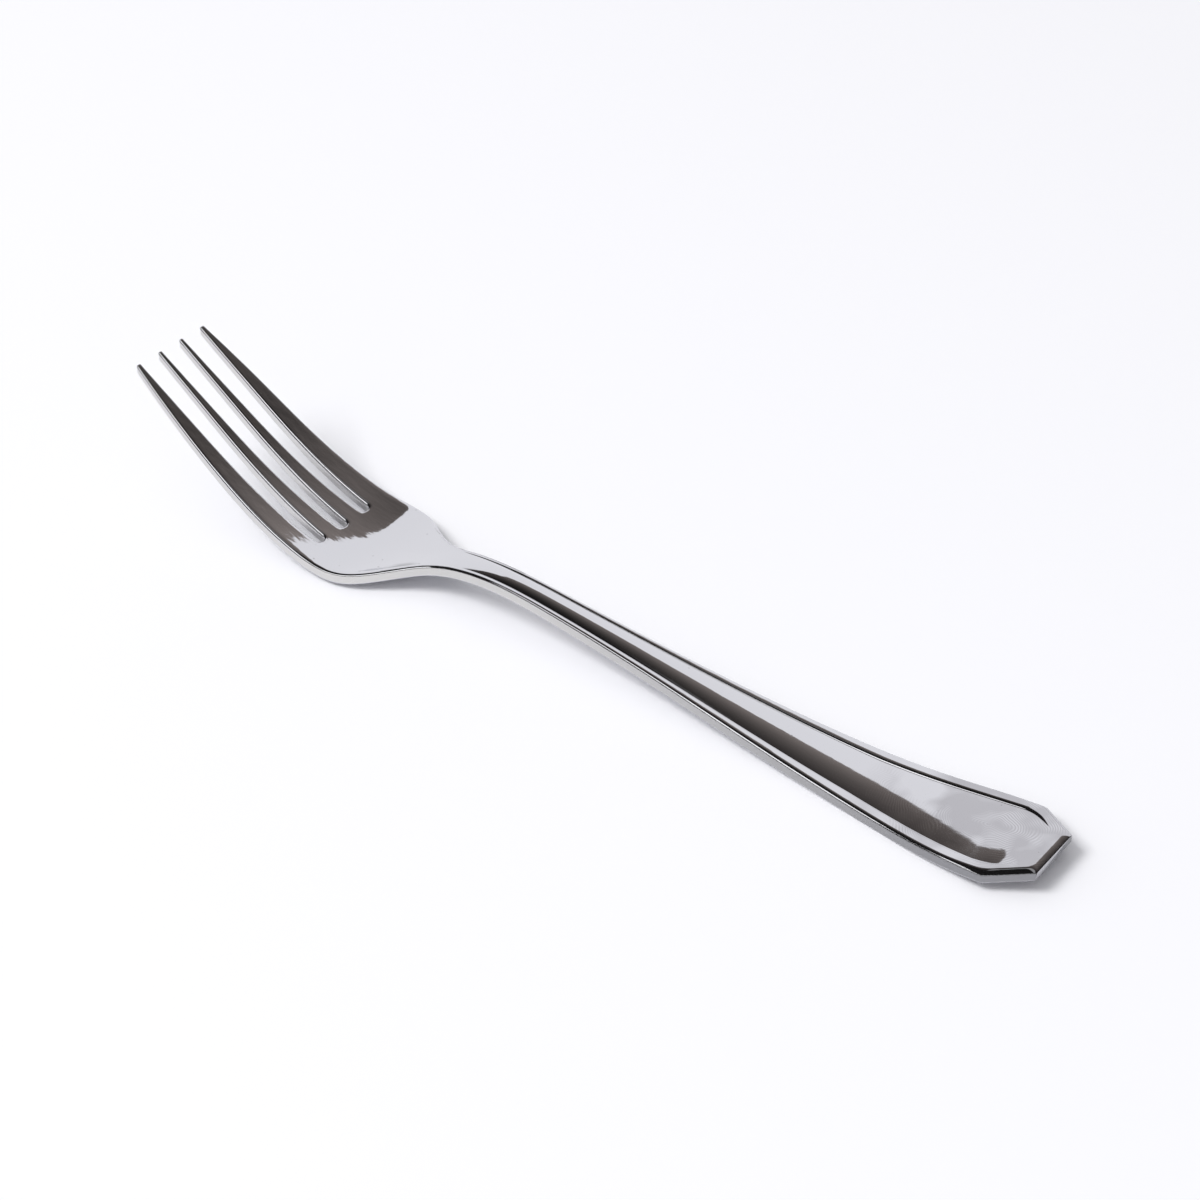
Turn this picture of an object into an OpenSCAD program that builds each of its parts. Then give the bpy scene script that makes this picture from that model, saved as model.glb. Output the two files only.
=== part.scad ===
// Dinner fork stamped and bent from one blank of stainless steel, in millimetres.
// X runs from the handle's end to the tine tips, Z is up and Y = 0 is the plane of symmetry.
// The origin lies at mid length, on the table that the fork rests on.
// Each node is a stretch of the one blank: neighbouring stretches share a flat face.

/* [Side view] */
// Overall length from the handle's end to the tine tips
fork_length = 200; // [180:1:215]
// Height of the underside at the handle's turned-up end
end_lift = 2.9; // [1:0.1:5]
// Distance from the handle's end to the line where the handle rests
rest_station = 28; // [22:1:36]
// Height of the underside at the top of the neck's arch
arch_height = 6.85; // [4:0.05:9]
// Distance from the top of the arch to the tine tips
arch_to_tips = 83; // [78:1:90]
// Distance from the line where the bowl rests to the tine tips
bowl_to_tips = 51; // [49:1:54]
// Height of the underside at the tine tips
tip_rise = 26; // [16:0.5:32]
// Depth that the two resting flats are worn into the underside
rest_wear = 0.05; // [0.02:0.01:0.1]

/* [Handle] */
// Widest width of the handle
handle_width = 21.5; // [17:0.5:24]
// Width of the straight end between its two corner facets
end_width = 11.8; // [8:0.2:14]
// Length of the corner facets along the handle
facet_length = 7.5; // [5:0.5:9]
// Thickness of the handle at its raised border
handle_thickness = 2.4; // [1.8:0.1:3.2]
// Width of the raised border, from the side wall to the groove
border_width = 2.6; // [2:0.05:3]
// Border width as a share of the half width, where the handle is too narrow for the full border
border_share = 0.33; // [0.25:0.01:0.4]
// Width of the border's inner slope, from its crest down to the groove
slope_width = 1.3; // [0.8:0.05:1.7]
// Depth of the groove between border and centre panel
groove_depth = 0.34; // [0.1:0.02:0.5]
// Height of the centre panel's crown above the border's crest
panel_crown = 0.32; // [0.1:0.02:0.6]

/* [Neck and bowl] */
// Width of the neck at its narrowest
neck_width = 6.24; // [5:0.1:8]
// Distance from the narrowest place to the tine tips
neck_to_tips = 86; // [82:1:92]
// Widest width of the bowl
bowl_width = 26.5; // [22:0.5:29]
// Distance from the bowl's widest place to the tine tips
widest_to_tips = 46; // [44:1:48]
// Thickness of the bowl
bowl_thickness = 2.27; // [1.6:0.01:3]
// Depth of the bowl's dish below its rim
dish_depth = 0.86; // [0.4:0.02:1.4]

/* [Tines] */
// Length of the slots between the tines
slot_length = 43.5; // [40:0.5:45]
// Width of a slot at its round root
slot_root_width = 2.2; // [1.6:0.1:2.8]
// Width of a slot at the tine tips
slot_tip_width = 4.65; // [3.8:0.05:5]
// Distance between the slots at their roots
slot_root_pitch = 6.37; // [5.8:0.01:6.6]
// Distance between the slots at the tine tips
slot_tip_pitch = 5.8; // [5.6:0.05:6]
// Overall width across the tine tips
tip_span = 18.8; // [18.4:0.1:20]
// Upright thickness of the tines at their tips
tip_thickness = 1.68; // [1.2:0.02:2.2]
// Radius of the rounded tine tips
tip_round = 0.3; // [0.1:0.05:0.4]

/* [Edges] */
// Width of the rounded upper edge along the handle's sides
handle_edge_width = 0.85; // [0.4:0.05:1]
// Width of the rounded upper edge at the handle's end and facets
end_edge_width = 1.25; // [0.6:0.05:1.4]
// Drop of the rounded upper edge of the handle
handle_edge_drop = 0.7; // [0.3:0.05:1]
// Width of the rounded upper edge of bowl and tine roots
bowl_edge_width = 0.6; // [0.3:0.05:0.8]
// Drop of the rounded upper edge of bowl and tine roots
bowl_edge_drop = 0.35; // [0.2:0.05:0.5]
// Width of the rounded upper edge at the tine tips
tip_edge_width = 0.25; // [0.1:0.05:0.35]
// Drop of the rounded upper edge at the tine tips
tip_edge_drop = 0.25; // [0.1:0.05:0.35]
// Width of the rounded lower edge, all round
lower_edge_width = 0.45; // [0.2:0.05:0.5]
// Drop of the rounded lower edge, all round
lower_edge_drop = 0.3; // [0.1:0.05:0.4]

/* [Hidden] */

// Spacing of the cross sections along the handle, the bend and the tines
facet_step = 0.9;
handle_step = 3;
bend_step = 1.5;
tine_step = 2;
// Stretches over which the border's groove fades out, at the handle's end and into the bowl
groove_fade_end = 2.8;
groove_fade_neck = 24;
// Stretch on each side of the facets' corners over which the end's edge turns into the sides'
end_edge_fade = 2;
// Softness of the handle's corners at the wall, and how much softer they get per step inwards
corner_softness = 0.35;
inner_softness = 0.45;
// Stretch before the neck over which the panel's crown fades, and after it where the dish starts
crown_fade = 16;

// Stations are distances along X from the handle's end
arch_station = fork_length - arch_to_tips;
bowl_station = fork_length - bowl_to_tips;
neck_station = fork_length - neck_to_tips;
widest_station = fork_length - widest_to_tips;
handle_end = neck_station - bend_step;
neck_end = (neck_station + widest_station) / 2;
slot_root = fork_length - slot_length;
root_radius = slot_root_width / 2;
facet_slope = (handle_width - end_width) / 2 / facet_length;
facet_norm = sqrt(1 + facet_slope * facet_slope);
corner_end = facet_length + border_width + end_edge_fade;

// Shares of each stretch and of its rise, between the stations named above
end_rise_shares = [[0.464, 0.338]];
handle_rise_shares = [[0.225, 0.09], [0.54, 0.477], [0.854, 0.898]];
neck_fall_shares = [[0.3125, 0.839], [0.656, 0.343]];
tine_rise_shares = [[0.216, 0.075], [0.51, 0.345], [0.765, 0.676]];
end_slope_share = -1.64;
tip_slope_share = 1.41;
// Shares of each stretch and of its change in half width
handle_taper_shares = [
    [0.1, 0.912], [0.211, 0.729], [0.352, 0.522], [0.493, 0.346], [0.681, 0.152], [0.868, 0.034]
];
shoulder_shares = [[0.3, 0.028], [0.475, 0.146], [0.6375, 0.527], [0.7875, 0.89]];
head_taper_shares = [[0.4565, 0.705], [0.739, 0.431]];
widest_slope_share = -0.42;
tip_taper_share = -2.04;
// Shares of the stretches from neck to bowl and from bowl to tips, and of the dish's depth there
dish_in_shares = [[0.45, 0.13], [0.69, 0.52]];
dish_out_shares = [[0.216, 0.6], [0.51, 0.24]];
// Points of a cross section: angles round an upper and a lower edge, and shares of the widths of the
// border's inner slope, the panel and the underside
edge_angles = [0, 22, 42, 62, 90];
lower_angles = [0, 45, 90];
slope_shares = [0.45, 0.65, 0.8, 0.9, 1];
panel_shares = [0.85, 0.62, 0.34];
under_shares = [0.38, 0.72];
// Most of the border that its inner slope takes, and how late that slope steepens
slope_limit_share = 0.6;
slope_power = 5;
// Squareness of the rounded upper edges, along the sides and at the handle's end; 2 is a quarter round
edge_power = 3;
end_edge_power = 2;
// Share of the border's width by which the panel draws in behind the handle's straight end
end_panel_share = 0.15;
// Share of the lower edge that is left at the tine tips
tip_lower_share = 0.45;
// Angles round a slot's root, and round a tine's tip
root_angles = [0, 15, 30, 45, 60, 75, 90];
tip_angles = [30, 60, 90];

// Smooth step from 0 at a to 1 at b
function ramp(x, a, b) =
    let (t = max(0, min(1, (x - a) / (b - a))))
    t * t * (3 - 2 * t);

// Slopes of a smooth curve through the knots, with the two end slopes given, by repeated averaging
function slopes(k, m, rounds = 40) =
    rounds == 0 ? m :
    let (n = len(k) - 1)
    slopes(k, [for (i = [0:n])
        i == 0 || i == n ? m[i] :
        let (
            before = k[i][0] - k[i - 1][0],
            after = k[i + 1][0] - k[i][0],
            rise = (k[i][1] - k[i - 1][1]) / before,
            next_rise = (k[i + 1][1] - k[i][1]) / after
        )
        (3 * (after * rise + before * next_rise) - after * m[i - 1] - before * m[i + 1])
            / (2 * (before + after))
    ], rounds - 1);

// Curve made of its knots and their slopes
function curve(k, first, last) =
    let (n = len(k) - 1)
    [k, slopes(k, [for (i = [0:n]) i == 0 ? first : i == n ? last : 0])];

// Number of the stretch between knots that holds x
function stretch(k, x, i = 0) = i >= len(k) - 2 || x < k[i + 1][0] ? i : stretch(k, x, i + 1);

// Height of a curve at x
function at(c, x) =
    let (
        k = c[0],
        i = stretch(k, x),
        h = k[i + 1][0] - k[i][0],
        t = max(0, min(1, (x - k[i][0]) / h)),
        u = t * t,
        v = t * t * t
    )
    (2 * v - 3 * u + 1) * k[i][1] + (v - 2 * u + t) * h * c[1][i]
        + (3 * u - 2 * v) * k[i + 1][1] + (v - u) * h * c[1][i + 1];

// Knots between two stations, from shares of the way and of the change from a to b
function between(x0, x1, a, b, shares) = [for (s = shares) [x0 + (x1 - x0) * s[0], a + (b - a) * s[1]]];

underside = curve(concat(
    [[0, end_lift]],
    between(0, rest_station, 0, end_lift, end_rise_shares),
    [[rest_station, -rest_wear]],
    between(rest_station, arch_station, 0, arch_height, handle_rise_shares),
    [[arch_station, arch_height]],
    between(arch_station, bowl_station, 0, arch_height, neck_fall_shares),
    [[bowl_station, -rest_wear]],
    between(bowl_station, fork_length, 0, tip_rise, tine_rise_shares),
    [[fork_length, tip_rise]]
), end_slope_share * end_lift / rest_station, tip_slope_share * tip_rise / (fork_length - bowl_station));

outline = curve(concat(
    [[facet_length, handle_width / 2]],
    between(facet_length, neck_station, neck_width / 2, handle_width / 2, handle_taper_shares),
    [[neck_station, neck_width / 2]],
    between(neck_station, widest_station, neck_width / 2, bowl_width / 2, shoulder_shares),
    [[widest_station, bowl_width / 2]],
    between(widest_station, fork_length, tip_span / 2, bowl_width / 2, head_taper_shares),
    [[fork_length, tip_span / 2]]
), widest_slope_share * (handle_width - neck_width) / 2 / (neck_station - facet_length),
    tip_taper_share * (bowl_width - tip_span) / 2 / (fork_length - widest_station));

dish_curve = curve(concat(
    [[neck_station, 0]],
    between(neck_station, bowl_station, 0, dish_depth, dish_in_shares),
    [[bowl_station, dish_depth]],
    between(bowl_station, fork_length, 0, dish_depth, dish_out_shares),
    [[fork_length, 0]]
), 0, 0);

function dish(x) = max(0, at(dish_curve, x));
function under(x) = at(underside, x);
function side(x) = at(outline, x);

// Share of the way from a station to the tine tips
function stretch_share(x, start) = (x - start) / (fork_length - start);

// Upright thickness at the rim
function thickness(x) =
    x < widest_station
        ? handle_thickness + (bowl_thickness - handle_thickness) * ramp(x, neck_station, widest_station)
        : bowl_thickness
            + (tip_thickness - bowl_thickness) * pow(stretch_share(x, widest_station), 2);

// Height of the border's crest, or of the rim
function rim(x) = under(x) + dish(x) + thickness(x);

// Share of the handle's end and facets in its edges: 1 there, and 0 along the sides
function end_share(x) = 1 - ramp(x, facet_length - end_edge_fade, facet_length + end_edge_fade);

// Width and drop of the rounded upper edge, as a pair
function upper_edge(x) =
    let (
        bowl = ramp(x, neck_station, bowl_station),
        tip = ramp(x, slot_root, fork_length),
        side_width = min(handle_edge_width, crest_end(x)),
        end_width_gain = (end_edge_width - side_width) * end_share(x),
        handle_edge = [side_width + end_width_gain, handle_edge_drop],
        bowl_edge = [bowl_edge_width, bowl_edge_drop],
        edge = handle_edge * (1 - bowl) + bowl_edge * bowl
    )
    edge * (1 - tip) + [tip_edge_width, tip_edge_drop] * tip;

// Squareness of the rounded upper edge
function squareness(x) = edge_power + (end_edge_power - edge_power) * end_share(x);

// Width and drop of the rounded lower edge, as a pair
function lower_edge(x) =
    [lower_edge_width, lower_edge_drop] * (1 - ramp(x, slot_root, fork_length) * (1 - tip_lower_share));

function border(x) = min(border_width, border_share * side(min(x, neck_station)));
function groove(x) =
    groove_depth * ramp(x, groove_fade_end, facet_length)
        * (1 - ramp(x, neck_station, neck_station + groove_fade_neck));
function crown(x) =
    panel_crown * (1 - ramp(x, neck_station - crown_fade, neck_station + crown_fade)) - dish(x);

// Drop of a rounded edge at the distance d from its wall; the power 2 makes it a quarter round
function edge_drop(d, edge, power = 2) =
    d >= edge[0] ? 0 : edge[1] * (1 - pow(1 - pow(1 - d / edge[0], power), 1 / power));

// Distance from the wall at which the border's crest ends and its inner slope starts
function crest_end(x) = border(x) - min(slope_width, slope_limit_share * border(x));

// Smaller of two lengths, with the crease between them rounded off
function soft_min(a, b, softness) =
    let (near = max(softness - abs(a - b), 0))
    min(a, b) - near * near / (4 * softness);

// Softness of the corners at the distance d in from the wall
function softness(d) = corner_softness + inner_softness * max(0, min(d, border_width));

// Half width of the outline up to a facet, drawn in by d
function facet_width(x, d) = end_width / 2 + facet_slope * x - d * facet_norm;

// Half width of the handle's outline, drawn in by d on every side
function inset_width(x, d) = soft_min(side(x) - d, facet_width(x, d), softness(d));

// Half width at which the distance to the edge is d; past the end's own distance the points draw together
function width_at(x, d) =
    d <= x ? inset_width(x, d) : inset_width(x, x) * (1 - (d - x) / border_width * end_panel_share);

// Distance from the half width y in to the side, the facet or the handle's end
function wall_distance(x, y) =
    let (
        to_side = side(x) - y,
        to_facet = (facet_width(x, 0) - y) / facet_norm,
        s = softness(min(to_side, to_facet, x))
    )
    max(0, soft_min(soft_min(to_side, to_facet, s), x, s));

// Height of the upper side at the half width y: edge, crest, groove and crowned or dished panel
function upper_height(x, y) =
    let (
        d = wall_distance(x, y),
        b = border(x),
        start = crest_end(x),
        fall = max(0, min(1, (d - start) / (b - start))),
        reach = side(max(x, facet_length)) - b,
        share = max(0, min(1, 1 - (d - b) / reach)),
        edge = edge_drop(d, upper_edge(x), squareness(x))
    )
    rim(x) - edge - groove(x) * pow(fall, slope_power) + (crown(x) + groove(x)) * (1 - share * share);

// Half of a section's upper side, from the wall to just before the middle, as [y, z]
function upper_half(x) =
    let (
        width = upper_edge(x)[0],
        start = crest_end(x),
        round_marks = [for (a = edge_angles) width * (1 - cos(a))],
        slope_marks = [for (s = slope_shares) start + (border(x) - start) * s],
        inner = width_at(x, border(x)),
        sides = [for (d = concat(round_marks, slope_marks)) width_at(x, d)],
        panel = [for (s = concat(panel_shares, [0])) inner * s]
    )
    [for (y = concat(sides, panel)) [y, upper_height(x, y)]];

// Half of a section's lower side, from just before the middle to the wall, as [y, z]
function lower_half(x) =
    let (
        edge = lower_edge(x),
        marks = [for (a = lower_angles) edge[0] * (1 - cos(a))],
        inner = width_at(x, edge[0])
    )
    concat(
        [for (s = concat([0], under_shares)) lower_point(x, inner * s, edge[0])],
        [for (d = reversed(marks)) lower_point(x, width_at(x, d), d)]
    );

// Point of the underside at the half width y, the distance d from the wall; the resting flats are level
function lower_point(x, y, d) =
    [y, max(0, under(x) + dish(x) * pow(y / side(x), 2) + edge_drop(min(d, x), lower_edge(x)))];

// Whole section as a loop of points at the station x
function section(x) =
    let (
        top = upper_half(x),
        low = lower_half(x),
        n = len(top) - 1,
        m = len(low) - 1
    )
    concat(
        [for (p = top) place(x, p)],
        [for (i = [n - 1:-1:0]) place(x, [-top[i][0], top[i][1]])],
        [for (i = [m:-1:0]) place(x, [-low[i][0], low[i][1]])],
        [for (i = [1:m]) place(x, low[i])]
    );

// A section's point, with the origin at mid length
function place(x, p) = [x - fork_length / 2, p[0], p[1]];

// Distance of the slot's two walls from its centre line
function half_slot(x) =
    x < slot_root + root_radius
        ? sqrt(max(0, pow(root_radius, 2) - pow(slot_root + root_radius - x, 2)))
        : root_radius + (slot_tip_width / 2 - root_radius) * stretch_share(x, slot_root + root_radius);

function slot_centre(x) = slot_root_pitch + (slot_tip_pitch - slot_root_pitch) * stretch_share(x, slot_root);

// The two sides of a tine, from the slots beside it, for tines 1 and 2 of the positive half
function tine_sides(x, outer) =
    outer ? [slot_centre(x) + half_slot(x), side(x)] : [half_slot(x), slot_centre(x) - half_slot(x)];

// Height of the dished upper side, without its rounded edges
function tine_top(x, y) = rim(x) + crown(x) * (1 - pow(min(y / (side(x) - border(x)), 1), 2));
function tine_low(x, y) = max(0, under(x) + dish(x) * pow(y / side(x), 2));

// Share of the rounded edge that a slot's wall has, growing from nothing at the slot's root
function slot_edge(x) = min(1, (x - slot_root) / bowl_edge_width);

// Points across a rounded edge at a wall, as [distance from the wall, drop], scaled by share
function edge_points(edge, share, angles, power = 2) =
    [for (t = angles) let (d = edge[0] * (1 - cos(t))) [d * share, edge_drop(d, edge, power) * share]];

function reversed(list) = [for (i = [len(list) - 1:-1:0]) list[i]];

// Section of a tine, drawn in by the tip's rounding r on every side
function tine_section(x, outer, r) =
    let (
        s = tine_sides(x, outer),
        up = upper_edge(x),
        low = lower_edge(x),
        in_share = slot_edge(x),
        out_share = outer ? 1 : in_share,
        a = s[0] + r,
        b = s[1] - r,
        top_a = [for (p = edge_points(up, in_share, edge_angles, edge_power)) [a + p[0], p[1]]],
        top_b = [for (p = edge_points(up, out_share, edge_angles, edge_power)) [b - p[0], p[1]]],
        low_a = [for (p = edge_points(low, in_share, lower_angles)) [a + p[0], p[1]]],
        low_b = [for (p = edge_points(low, out_share, lower_angles)) [b - p[0], p[1]]],
        centre = [[(a + b) / 2, 0]],
        top = concat(top_a, centre, reversed(top_b)),
        bottom = concat(low_b, centre, reversed(low_a)),
        loop = concat(
            [for (p = top) [p[0], tine_top(x, p[0]) - p[1] - r]],
            [for (p = bottom) [p[0], tine_low(x, p[0]) + p[1] + r]]
        )
    )
    [for (p = reversed(loop)) place(x, p)];

// Evenly spaced stations from a to b, no further apart than the step
function stations(a, b, step) =
    let (n = ceil((b - a) / step))
    [for (i = [0:n]) a + (b - a) * i / n];

// Middle of a loop of points
function middle(ring) = [for (p = ring) 1] * ring / len(ring);

// Solid skinned over a row of sections; each end is closed by a fan round its middle
module loft(rings) {
    n = len(rings[0]);
    last = len(rings) - 1;
    count = n * len(rings);
    sides = [for (i = [0:last - 1], j = [0:n - 1])
        let (
            a = i * n + j,
            b = i * n + (j + 1) % n
        )
        each [[a, b, b + n], [a, b + n, a + n]]
    ];
    start_cap = [for (j = [0:n - 1]) [count, (j + 1) % n, j]];
    end_cap = [for (j = [0:n - 1]) [count + 1, last * n + j, last * n + (j + 1) % n]];
    polyhedron(
        points = concat([for (r = rings) each r], [middle(rings[0]), middle(rings[last])]),
        faces = concat(start_cap, sides, end_cap)
    );
}

// Handle: faceted end, raised border, groove and crowned panel
module handle() {
    edge_stations = [for (a = edge_angles) end_edge_width * (1 - cos(a))];
    facet_stations = [for (x = stations(end_edge_width, corner_end, facet_step)) if (x > end_edge_width) x];
    long_stations = [for (x = stations(facet_length, handle_end, handle_step)) if (x > corner_end) x];
    color("silver")
        loft([for (x = concat(edge_stations, facet_stations, long_stations)) section(x)]);
}

// Neck: the arch, narrowest stretch and the shoulders' start
module neck() {
    color("silver")
        loft([for (x = stations(handle_end, neck_end, bend_step)) section(x)]);
}

// Palm: the dished bowl from the shoulders to the slots' roots
module palm() {
    color("silver")
        loft([for (x = stations(neck_end, slot_root, bend_step)) section(x)]);
}

// One tine of the positive half, from its root to its rounded tip
module tine(outer) {
    root_stations = [for (a = root_angles) slot_root + root_radius * (1 - cos(a))];
    shank_start = slot_root + root_radius;
    shank_end = fork_length - tip_round;
    shank = [for (x = stations(shank_start, shank_end, tine_step)) if (x > shank_start) x];
    rings = concat(
        [for (x = concat(root_stations, shank)) tine_section(x, outer, 0)],
        [for (a = tip_angles) tine_section(shank_end + tip_round * sin(a), outer, tip_round * (1 - cos(a)))]
    );
    color("silver") loft(rings);
}

module tine_1() { tine(true); }
module tine_2() { tine(false); }
module tine_3() { mirror([0, 1, 0]) tine(false); }
module tine_4() { mirror([0, 1, 0]) tine(true); }

handle();
neck();
palm();
tine_1();
tine_2();
tine_3();
tine_4();
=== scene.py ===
# Polished steel dinner fork on a white table, seen from above its handle's left side.
# The fork is modelled as it is made: a flat blank with its raised border, groove, crowned panel and
# slots, which a press then bends along the side view. The fork's sizes are in millimetres until
# skin() makes them metres; a station is a distance along the fork from the handle's end.
import math

import bmesh
import bpy
import numpy as np
from mathutils import Matrix, Vector


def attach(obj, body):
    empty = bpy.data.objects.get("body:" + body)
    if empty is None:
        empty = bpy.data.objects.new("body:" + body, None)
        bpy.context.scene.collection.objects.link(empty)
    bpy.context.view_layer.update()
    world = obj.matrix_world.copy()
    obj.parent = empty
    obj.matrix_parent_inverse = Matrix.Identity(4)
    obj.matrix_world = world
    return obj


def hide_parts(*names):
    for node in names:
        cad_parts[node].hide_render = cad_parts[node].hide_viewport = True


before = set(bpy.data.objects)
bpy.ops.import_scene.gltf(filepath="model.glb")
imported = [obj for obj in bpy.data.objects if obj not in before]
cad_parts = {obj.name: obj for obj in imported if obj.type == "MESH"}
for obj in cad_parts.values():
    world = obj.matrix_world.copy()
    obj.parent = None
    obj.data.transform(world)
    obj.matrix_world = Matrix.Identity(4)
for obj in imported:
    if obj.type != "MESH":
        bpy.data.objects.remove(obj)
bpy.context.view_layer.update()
MM = 0.001

# Side view
LENGTH = 200.0
END_LIFT = 2.9
REST_STATION = 28.0
ARCH_HEIGHT = 6.85
ARCH_STATION = LENGTH - 83.0
BOWL_STATION = LENGTH - 51.0
TIP_RISE = 26.0
REST_WEAR = 0.05

# Handle, with its corner facets, raised border and crowned panel
HANDLE_WIDTH = 21.5
END_WIDTH = 11.8
FACET_LENGTH = 7.5
HANDLE_THICKNESS = 2.4
BORDER_WIDTH = 2.6
BORDER_SHARE = 0.33
SLOPE_WIDTH = 1.3
SLOPE_SHARE = 0.6
SLOPE_POWER = 5
GROOVE_DEPTH = 0.34
PANEL_CROWN = 0.32
GROOVE_FADE_END = 2.8
GROOVE_FADE_NECK = 24.0
CORNER_SOFTNESS = 0.35
INNER_SOFTNESS = 0.45

# Neck and bowl
NECK_WIDTH = 6.24
NECK_STATION = LENGTH - 86.0
CROWN_FADE = (NECK_STATION - 4, NECK_STATION + 28)
BOWL_WIDTH = 26.5
WIDEST_STATION = LENGTH - 46.0
BOWL_THICKNESS = 2.27
DISH_DEPTH = 0.86

# Tines and slots
SLOT_LENGTH = 43.5
SLOT_ROOT_WIDTH = 2.2
SLOT_TIP_WIDTH = 4.65
SLOT_ROOT_PITCH = 6.37
SLOT_TIP_PITCH = 5.8
TIP_SPAN = 18.8
TIP_THICKNESS = 1.68
TIP_ROUND = 0.3
SLOT_ROOT = LENGTH - SLOT_LENGTH
ROOT_RADIUS = SLOT_ROOT_WIDTH / 2

# Rounded edges, as (width, drop), and the stations at which the handle's end edge gives way to its
# sides' and the bowl's to the tines'. A power of 1 makes an edge a flat bevel, 2 a quarter round, and
# more a squarer one.
EDGE_POWER = 2.3
FACET_EDGE_POWER = 1.25
TINE_EDGE_POWER = 2
HANDLE_EDGE = (0.85, 0.7)
END_EDGE_WIDTH = 1.25
END_EDGE_FADE = (5.5, 16.0)
BOWL_EDGE = (0.72, 0.5)
TINE_EDGE = (0.55, 0.95)
TINE_EDGE_STATION = SLOT_ROOT + 6
TIP_EDGE = (0.4, 0.8)
LOWER_EDGE = (0.45, 0.3)
TIP_LOWER_SHARE = 0.45

# Shares of each stretch between the named stations and of the change along it
END_RISE_SHARES = [(0.464, 0.338)]
HANDLE_RISE_SHARES = [(0.225, 0.09), (0.54, 0.477), (0.854, 0.898)]
NECK_FALL_SHARES = [(0.3125, 0.839), (0.656, 0.343)]
TINE_RISE_SHARES = [(0.216, 0.075), (0.51, 0.345), (0.765, 0.676)]
END_SLOPE_SHARE = -1.64
TIP_SLOPE_SHARE = 1.41
HANDLE_TAPER_SHARES = [
    (0.1, 0.912), (0.211, 0.729), (0.352, 0.522), (0.493, 0.346), (0.681, 0.152), (0.868, 0.034),
]
SHOULDER_SHARES = [(0.3, 0.028), (0.475, 0.146), (0.6375, 0.527), (0.7875, 0.89)]
HEAD_TAPER_SHARES = [(0.4565, 0.705), (0.739, 0.431)]
WIDEST_SLOPE_SHARE = -0.42
TIP_TAPER_SHARE = -2.04
DISH_IN_SHARES = [(0.45, 0.13), (0.69, 0.52)]
DISH_OUT_SHARES = [(0.216, 0.6), (0.51, 0.24)]

# Camera of the photograph: where it stands, how it is turned, and its focal length in image widths
CAMERA_PLACE = (-0.24408, 0.31426, 0.31671)
CAMERA_DOWN = math.radians(37.512)
CAMERA_TURN = math.radians(52.789)
CAMERA_ROLL = math.radians(0.049)
FOCAL_WIDTHS = 2762.72 / 1200
SENSOR_WIDTH = 36.0
CAMERA_REACH = (0.01, 20.0)

# Steel: colours of the metal, of its blanked walls (darkened at the handle's end as painted shade),
# of a smudge's film and of a fleck
STEEL_COLOUR = "#d6d6da"
# painted shade: a darker wall colour at the handle's end, standing in for the shadowed table that the
# walls mirror there
SHADED_END_WALL_COLOUR = "#98989b"
WALL_COLOUR = "#d6d5d3"
FILM_COLOUR = "#a4a2a6"
FLECK_COLOUR = "#55504e"
# Stations, from the fork's middle, between which the walls' painted shade at the handle's end turns
# into the head's plain wall colour, and between which their grain fades out
SHADED_END_WALL_FADE = (-85 * MM, 10 * MM)
GRAIN_FADE = (30 * MM, 55 * MM)
# Relief: sizes, stretches along the fork and heights of buffing waves, hairlines and wall grain. The
# hairlines and the grain are drawn coarser than real ones, so that they show. The waves are
# PALM_WAVES times as high on the palm.
WAVE_SIZE = 2.2 * MM
WAVE_STRETCH = 3.0
WAVE_HEIGHT = 0.011 * MM
PALM_WAVES = 3.2
PALM_WAVE_FADE = (35 * MM, 50 * MM)
HAIRLINE_SIZE = 0.12 * MM
HAIRLINE_STRETCH = 60.0
HAIRLINE_HEIGHT = 0.00004 * MM
GRAIN_SIZE = 0.2 * MM
GRAIN_HEIGHT = 0.05 * MM
# Roughness of the polish, at its clearest and haziest, of the walls and of the flecks
HAZE_EDGES = (0.3, 0.7)
HAZE = (0.03, 0.07)
WALL_ROUGHNESS = 0.4
TINE_WALL_ROUGHNESS = 0.18
FLECK_ROUGHNESS = 0.5
# Flecks: how far apart their places lie, their size, and the share of the places that has one
FLECK_SPACING = 2.4 * MM
FLECK_RADIUS = 0.18 * MM
FLECK_SHARE = 0.5
# Smudges: their size, how sharply they end, where they fade out along the fork, and what they add to
# the roughness and to the colour
SMUDGE_SIZE = 9 * MM
SMUDGE_EDGES = (0.36, 0.52)
SMUDGE_FADE = (-62 * MM, -74 * MM)
SMUDGE_HAZE = 0.01
SMUDGE_FILM = 0.6
# Ridges of the smudges, as far apart as real ones: how far the pattern moves to bring their middle
# to the smudges, how oval and bent they are, and the patches in which they part the film. The wave
# texture's rings lie a unit apart at RING_SCALE.
RING_SCALE = 0.314
RIDGE_SPACING = 0.5 * MM
RIDGE_SHIFT = (87 * MM, 1.2 * MM, 0)
RIDGE_OVAL = (1, 1.25, 0)
RIDGE_BENDS = {"Distortion": 22.0, "Detail": 1.5, "Detail Scale": 0.25}
RIDGE_PATCH_SIZE = 5 * MM
RIDGE_PATCH_EDGES = (0.42, 0.6)
RIDGE_DEPTH = 0.75

# Table: its colour and roughness, how far it reaches toward the camera and the other ways, in metres
TABLE_COLOUR = "#fbfbfe"
TABLE_ROUGHNESS = 0.7
TABLE_FRONT = 0.3
TABLE_REACH = 3

# Studio, as the steel mirrors it. Heights and reaches aside are per step toward the azimuth that a
# thing stands at, and a fade gives the places that it starts and ends at, then the values there.
UPWARD = (0, 0, 1)
LEAST_AHEAD = 0.01
# White screen behind the fork, lower at one side and dimmer at its foot
SCREEN_TURN = math.radians(-75)
SCREEN_COLOUR = "#fcfcff"
SCREEN_TOP_FADE = (1.03, 1.05, 1.0, 0.0)
SCREEN_SIDE_FADE = (1.0, 1.15, 1.0, 0.0)
SCREEN_DROP = (0.5, 0.8, 0.0, 0.3)
SCREEN_FOOT = (0.0, 0.07, 0.6, 1.0)
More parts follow.
